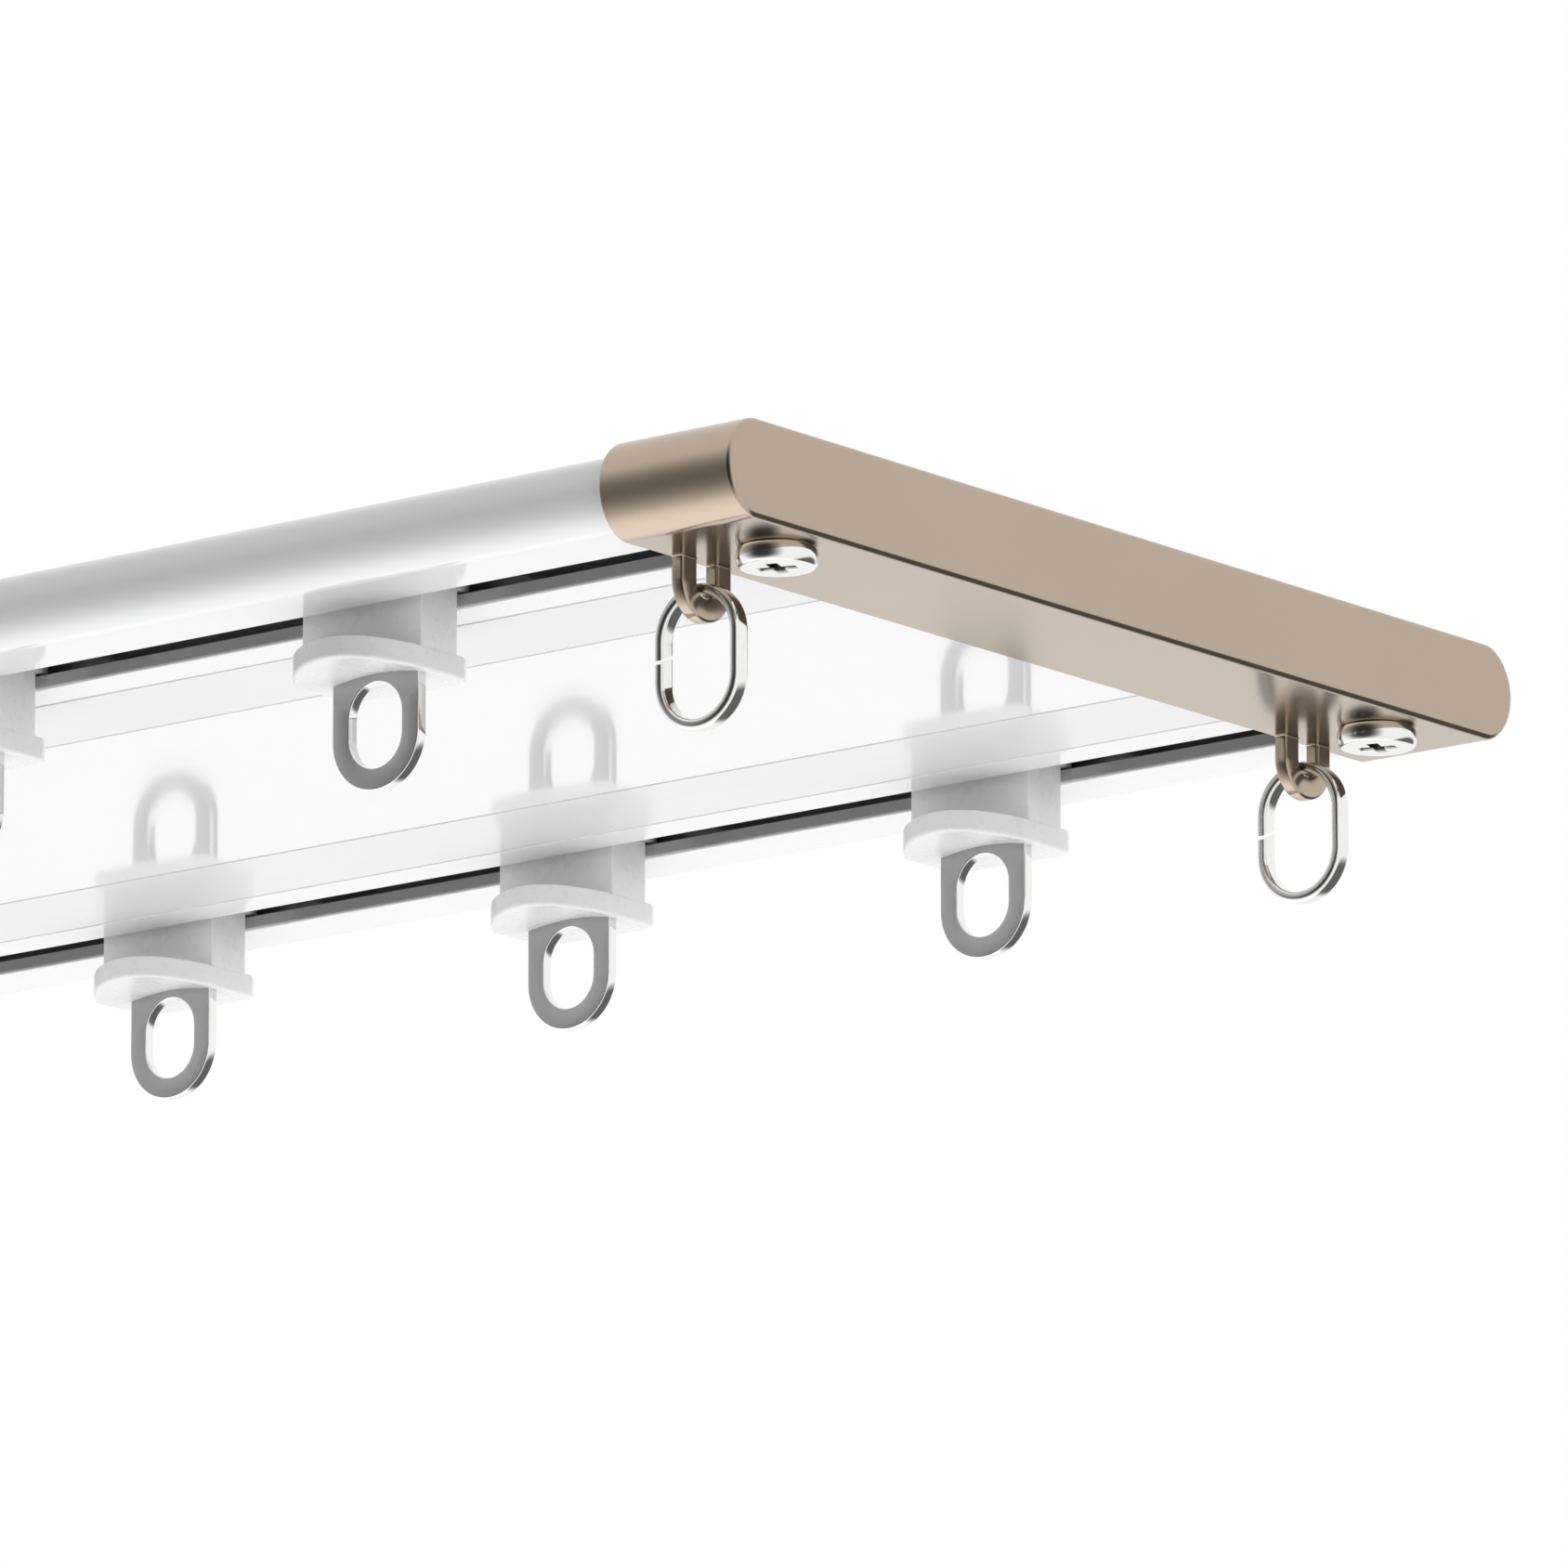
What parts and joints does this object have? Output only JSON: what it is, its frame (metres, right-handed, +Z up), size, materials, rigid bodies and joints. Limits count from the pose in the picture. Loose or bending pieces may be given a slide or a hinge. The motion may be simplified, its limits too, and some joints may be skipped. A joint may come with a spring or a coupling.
{
  "type": "curtain track",
  "caption": "Slim double curtain track for a ceiling: eyed gliders slide in two slots of a flat white extrusion, between screwed end caps with hanging links.",
  "frame": {"origin": "middle of the four ceiling screw holes, on the track's top face", "axes": "+X along the track, +Y across it from the front row to the back row, +Z up to the ceiling"},
  "size_m": [0.3524, 0.115, 0.0243],
  "materials": {
    "coated_track": "gloss",
    "bronze_cap": "satin",
    "bright_steel": "polished",
    "zinc_plate": "satin",
    "glider_nylon": "satin",
    "eye_steel": "satin"
  },
  "bodies": {
    "track": {"track": "coated_track", "end_cap_left": "bronze_cap", "end_cap_right": "bronze_cap", "cap_screws": "bright_steel", "plate_nuts": "zinc_plate"},
    "link_left_front": {"link_left_front": "bright_steel"},
    "link_left_back": {"link_left_back": "bright_steel"},
    "link_right_front": {"link_right_front": "bright_steel"},
    "link_right_back": {"link_right_back": "bright_steel"},
    "glider_front_1": {"glider_front_1": "glider_nylon", "glider_eye_front_1": "eye_steel"},
    "glider_front_2": {"glider_front_2": "glider_nylon", "glider_eye_front_2": "eye_steel"},
    "glider_front_3": {"glider_front_3": "glider_nylon", "glider_eye_front_3": "eye_steel"},
    "glider_front_4": {"glider_front_4": "glider_nylon", "glider_eye_front_4": "eye_steel"},
    "glider_front_5": {"glider_front_5": "glider_nylon", "glider_eye_front_5": "eye_steel"},
    "glider_front_6": {"glider_front_6": "glider_nylon", "glider_eye_front_6": "eye_steel"},
    "glider_back_1": {"glider_back_1": "glider_nylon", "glider_eye_back_1": "eye_steel"},
    "glider_back_2": {"glider_back_2": "glider_nylon", "glider_eye_back_2": "eye_steel"},
    "glider_back_3": {"glider_back_3": "glider_nylon", "glider_eye_back_3": "eye_steel"},
    "glider_back_4": {"glider_back_4": "glider_nylon", "glider_eye_back_4": "eye_steel"},
    "glider_back_5": {"glider_back_5": "glider_nylon", "glider_eye_back_5": "eye_steel"},
    "glider_back_6": {"glider_back_6": "glider_nylon", "glider_eye_back_6": "eye_steel"}
  },
  "joints": [
    {"name": "link_left_front_swing", "type": "hinge", "parent": "track", "child": "link_left_front", "pos_m": [-0.162, -0.044, -0.01245], "axis": [0, -1, 0], "range_deg": [-50, 70]},
    {"name": "link_left_back_swing", "type": "hinge", "parent": "track", "child": "link_left_back", "pos_m": [-0.162, 0.044, -0.01245], "axis": [0, -1, 0], "range_deg": [-50, 70]},
    {"name": "link_right_front_swing", "type": "hinge", "parent": "track", "child": "link_right_front", "pos_m": [0.162, -0.044, -0.01245], "axis": [0, -1, 0], "range_deg": [-70, 50]},
    {"name": "link_right_back_swing", "type": "hinge", "parent": "track", "child": "link_right_back", "pos_m": [0.162, 0.044, -0.01245], "axis": [0, -1, 0], "range_deg": [-70, 50]},
    {"name": "glider_front_1_slide", "type": "slide", "parent": "track", "child": "glider_front_1", "axis": [1, 0, 0], "range_m": [-0.0249, 0.0356]},
    {"name": "glider_front_2_slide", "type": "slide", "parent": "track", "child": "glider_front_2", "axis": [1, 0, 0], "range_m": [-0.0356, 0.0356]},
    {"name": "glider_front_3_slide", "type": "slide", "parent": "track", "child": "glider_front_3", "axis": [1, 0, 0], "range_m": [-0.0356, 0.0356]},
    {"name": "glider_front_4_slide", "type": "slide", "parent": "track", "child": "glider_front_4", "axis": [1, 0, 0], "range_m": [-0.0356, 0.0356]},
    {"name": "glider_front_5_slide", "type": "slide", "parent": "track", "child": "glider_front_5", "axis": [1, 0, 0], "range_m": [-0.0356, 0.0356]},
    {"name": "glider_front_6_slide", "type": "slide", "parent": "track", "child": "glider_front_6", "axis": [1, 0, 0], "range_m": [-0.0356, 0.0249]},
    {"name": "glider_back_1_slide", "type": "slide", "parent": "track", "child": "glider_back_1", "axis": [1, 0, 0], "range_m": [-0.0249, 0.0356]},
    {"name": "glider_back_2_slide", "type": "slide", "parent": "track", "child": "glider_back_2", "axis": [1, 0, 0], "range_m": [-0.0356, 0.0356]},
    {"name": "glider_back_3_slide", "type": "slide", "parent": "track", "child": "glider_back_3", "axis": [1, 0, 0], "range_m": [-0.0356, 0.0356]},
    {"name": "glider_back_4_slide", "type": "slide", "parent": "track", "child": "glider_back_4", "axis": [1, 0, 0], "range_m": [-0.0356, 0.0356]},
    {"name": "glider_back_5_slide", "type": "slide", "parent": "track", "child": "glider_back_5", "axis": [1, 0, 0], "range_m": [-0.0356, 0.0356]},
    {"name": "glider_back_6_slide", "type": "slide", "parent": "track", "child": "glider_back_6", "axis": [1, 0, 0], "range_m": [-0.0356, 0.0249]}
  ]
}
